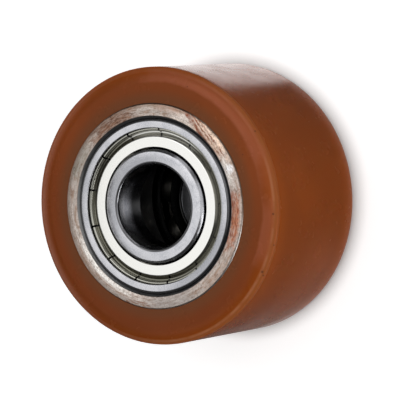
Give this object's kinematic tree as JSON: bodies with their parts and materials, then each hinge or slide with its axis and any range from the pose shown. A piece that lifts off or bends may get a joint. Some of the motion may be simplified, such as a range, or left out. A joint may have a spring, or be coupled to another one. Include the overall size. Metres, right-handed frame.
{
  "type": "polyurethane trolley wheel",
  "caption": "Cylindrical load wheel with a bonded polyurethane tyre on a steel tube hub, running on shielded ball bearings pressed into both ends.",
  "frame": {"origin": "centre of the wheel, on its axis halfway between the ends of the hub", "axes": "+Z along the axle, out of the end that the picture shows; the wheel stands on its other end; +X is the picture's up and -Y its right"},
  "size_m": [0.0984, 0.0984, 0.06],
  "materials": {
    "polyurethane": "cast and turned, satin",
    "hub_steel": "turned, with light rust stains",
    "ring_steel": "ground",
    "shield_steel": "bright pressed sheet",
    "cage_steel": "pressed sheet",
    "rivet_steel": "headed wire",
    "ball_steel": "polished"
  },
  "bodies": {
    "wheel": {"tyre": "polyurethane", "hub": "hub_steel", "upper_outer_ring": "ring_steel", "upper_shield": "shield_steel", "lower_outer_ring": "ring_steel", "lower_shield": "shield_steel"},
    "upper_inner_race": {"upper_inner_ring": "ring_steel"},
    "upper_cage": {"upper_cage_outboard": "cage_steel", "upper_cage_inboard": "cage_steel", "upper_cage_rivets": "rivet_steel"},
    "upper_ball_1": {"upper_ball_1": "ball_steel"},
    "upper_ball_2": {"upper_ball_2": "ball_steel"},
    "upper_ball_3": {"upper_ball_3": "ball_steel"},
    "upper_ball_4": {"upper_ball_4": "ball_steel"},
    "upper_ball_5": {"upper_ball_5": "ball_steel"},
    "upper_ball_6": {"upper_ball_6": "ball_steel"},
    "upper_ball_7": {"upper_ball_7": "ball_steel"},
    "upper_ball_8": {"upper_ball_8": "ball_steel"},
    "upper_ball_9": {"upper_ball_9": "ball_steel"},
    "lower_inner_race": {"lower_inner_ring": "ring_steel"},
    "lower_cage": {"lower_cage_outboard": "cage_steel", "lower_cage_inboard": "cage_steel", "lower_cage_rivets": "rivet_steel"},
    "lower_ball_1": {"lower_ball_1": "ball_steel"},
    "lower_ball_2": {"lower_ball_2": "ball_steel"},
    "lower_ball_3": {"lower_ball_3": "ball_steel"},
    "lower_ball_4": {"lower_ball_4": "ball_steel"},
    "lower_ball_5": {"lower_ball_5": "ball_steel"},
    "lower_ball_6": {"lower_ball_6": "ball_steel"},
    "lower_ball_7": {"lower_ball_7": "ball_steel"},
    "lower_ball_8": {"lower_ball_8": "ball_steel"},
    "lower_ball_9": {"lower_ball_9": "ball_steel"}
  },
  "joints": [
    {"name": "upper_inner_ring_spin", "type": "hinge", "parent": "wheel", "child": "upper_inner_race", "pos_m": [0, 0, 0.0218], "axis": [0, 0, 1], "continuous": true},
    {"name": "upper_cage_orbit", "type": "hinge", "parent": "wheel", "child": "upper_cage", "pos_m": [0, 0, 0.0218], "axis": [0, 0, 1], "continuous": true},
    {"name": "upper_ball_1_roll", "type": "hinge", "parent": "upper_cage", "child": "upper_ball_1", "pos_m": [0.023, 0, 0.0218], "axis": [0, 0, 1], "continuous": true},
    {"name": "upper_ball_2_roll", "type": "hinge", "parent": "upper_cage", "child": "upper_ball_2", "pos_m": [0.01762, 0.01478, 0.0218], "axis": [0, 0, 1], "continuous": true},
    {"name": "upper_ball_3_roll", "type": "hinge", "parent": "upper_cage", "child": "upper_ball_3", "pos_m": [0.00399, 0.02265, 0.0218], "axis": [0, 0, 1], "continuous": true},
    {"name": "upper_ball_4_roll", "type": "hinge", "parent": "upper_cage", "child": "upper_ball_4", "pos_m": [-0.0115, 0.01992, 0.0218], "axis": [0, 0, 1], "continuous": true},
    {"name": "upper_ball_5_roll", "type": "hinge", "parent": "upper_cage", "child": "upper_ball_5", "pos_m": [-0.02161, 0.00787, 0.0218], "axis": [0, 0, 1], "continuous": true},
    {"name": "upper_ball_6_roll", "type": "hinge", "parent": "upper_cage", "child": "upper_ball_6", "pos_m": [-0.02161, -0.00787, 0.0218], "axis": [0, 0, 1], "continuous": true},
    {"name": "upper_ball_7_roll", "type": "hinge", "parent": "upper_cage", "child": "upper_ball_7", "pos_m": [-0.0115, -0.01992, 0.0218], "axis": [0, 0, 1], "continuous": true},
    {"name": "upper_ball_8_roll", "type": "hinge", "parent": "upper_cage", "child": "upper_ball_8", "pos_m": [0.00399, -0.02265, 0.0218], "axis": [0, 0, 1], "continuous": true},
    {"name": "upper_ball_9_roll", "type": "hinge", "parent": "upper_cage", "child": "upper_ball_9", "pos_m": [0.01762, -0.01478, 0.0218], "axis": [0, 0, 1], "continuous": true},
    {"name": "lower_inner_ring_spin", "type": "hinge", "parent": "wheel", "child": "lower_inner_race", "pos_m": [0, 0, -0.0218], "axis": [0, 0, 1], "continuous": true},
    {"name": "lower_cage_orbit", "type": "hinge", "parent": "wheel", "child": "lower_cage", "pos_m": [0, 0, -0.0218], "axis": [0, 0, 1], "continuous": true},
    {"name": "lower_ball_1_roll", "type": "hinge", "parent": "lower_cage", "child": "lower_ball_1", "pos_m": [0.023, 0, -0.0218], "axis": [0, 0, 1], "continuous": true},
    {"name": "lower_ball_2_roll", "type": "hinge", "parent": "lower_cage", "child": "lower_ball_2", "pos_m": [0.01762, -0.01478, -0.0218], "axis": [0, 0, 1], "continuous": true},
    {"name": "lower_ball_3_roll", "type": "hinge", "parent": "lower_cage", "child": "lower_ball_3", "pos_m": [0.00399, -0.02265, -0.0218], "axis": [0, 0, 1], "continuous": true},
    {"name": "lower_ball_4_roll", "type": "hinge", "parent": "lower_cage", "child": "lower_ball_4", "pos_m": [-0.0115, -0.01992, -0.0218], "axis": [0, 0, 1], "continuous": true},
    {"name": "lower_ball_5_roll", "type": "hinge", "parent": "lower_cage", "child": "lower_ball_5", "pos_m": [-0.02161, -0.00787, -0.0218], "axis": [0, 0, 1], "continuous": true},
    {"name": "lower_ball_6_roll", "type": "hinge", "parent": "lower_cage", "child": "lower_ball_6", "pos_m": [-0.02161, 0.00787, -0.0218], "axis": [0, 0, 1], "continuous": true},
    {"name": "lower_ball_7_roll", "type": "hinge", "parent": "lower_cage", "child": "lower_ball_7", "pos_m": [-0.0115, 0.01992, -0.0218], "axis": [0, 0, 1], "continuous": true},
    {"name": "lower_ball_8_roll", "type": "hinge", "parent": "lower_cage", "child": "lower_ball_8", "pos_m": [0.00399, 0.02265, -0.0218], "axis": [0, 0, 1], "continuous": true},
    {"name": "lower_ball_9_roll", "type": "hinge", "parent": "lower_cage", "child": "lower_ball_9", "pos_m": [0.01762, 0.01478, -0.0218], "axis": [0, 0, 1], "continuous": true}
  ],
  "couplings": [
    {"joint": "upper_cage_orbit", "follows": "upper_inner_ring_spin", "ratio": 0.39647},
    {"joint": "upper_ball_1_roll", "follows": "upper_inner_ring_spin", "ratio": -2.3112},
    {"joint": "upper_ball_2_roll", "follows": "upper_inner_ring_spin", "ratio": -2.3112},
    {"joint": "upper_ball_3_roll", "follows": "upper_inner_ring_spin", "ratio": -2.3112},
    {"joint": "upper_ball_4_roll", "follows": "upper_inner_ring_spin", "ratio": -2.3112},
    {"joint": "upper_ball_5_roll", "follows": "upper_inner_ring_spin", "ratio": -2.3112},
    {"joint": "upper_ball_6_roll", "follows": "upper_inner_ring_spin", "ratio": -2.3112},
    {"joint": "upper_ball_7_roll", "follows": "upper_inner_ring_spin", "ratio": -2.3112},
    {"joint": "upper_ball_8_roll", "follows": "upper_inner_ring_spin", "ratio": -2.3112},
    {"joint": "upper_ball_9_roll", "follows": "upper_inner_ring_spin", "ratio": -2.3112},
    {"joint": "lower_cage_orbit", "follows": "lower_inner_ring_spin", "ratio": 0.39647},
    {"joint": "lower_ball_1_roll", "follows": "lower_inner_ring_spin", "ratio": -2.3112},
    {"joint": "lower_ball_2_roll", "follows": "lower_inner_ring_spin", "ratio": -2.3112},
    {"joint": "lower_ball_3_roll", "follows": "lower_inner_ring_spin", "ratio": -2.3112},
    {"joint": "lower_ball_4_roll", "follows": "lower_inner_ring_spin", "ratio": -2.3112},
    {"joint": "lower_ball_5_roll", "follows": "lower_inner_ring_spin", "ratio": -2.3112},
    {"joint": "lower_ball_6_roll", "follows": "lower_inner_ring_spin", "ratio": -2.3112},
    {"joint": "lower_ball_7_roll", "follows": "lower_inner_ring_spin", "ratio": -2.3112},
    {"joint": "lower_ball_8_roll", "follows": "lower_inner_ring_spin", "ratio": -2.3112},
    {"joint": "lower_ball_9_roll", "follows": "lower_inner_ring_spin", "ratio": -2.3112}
  ]
}
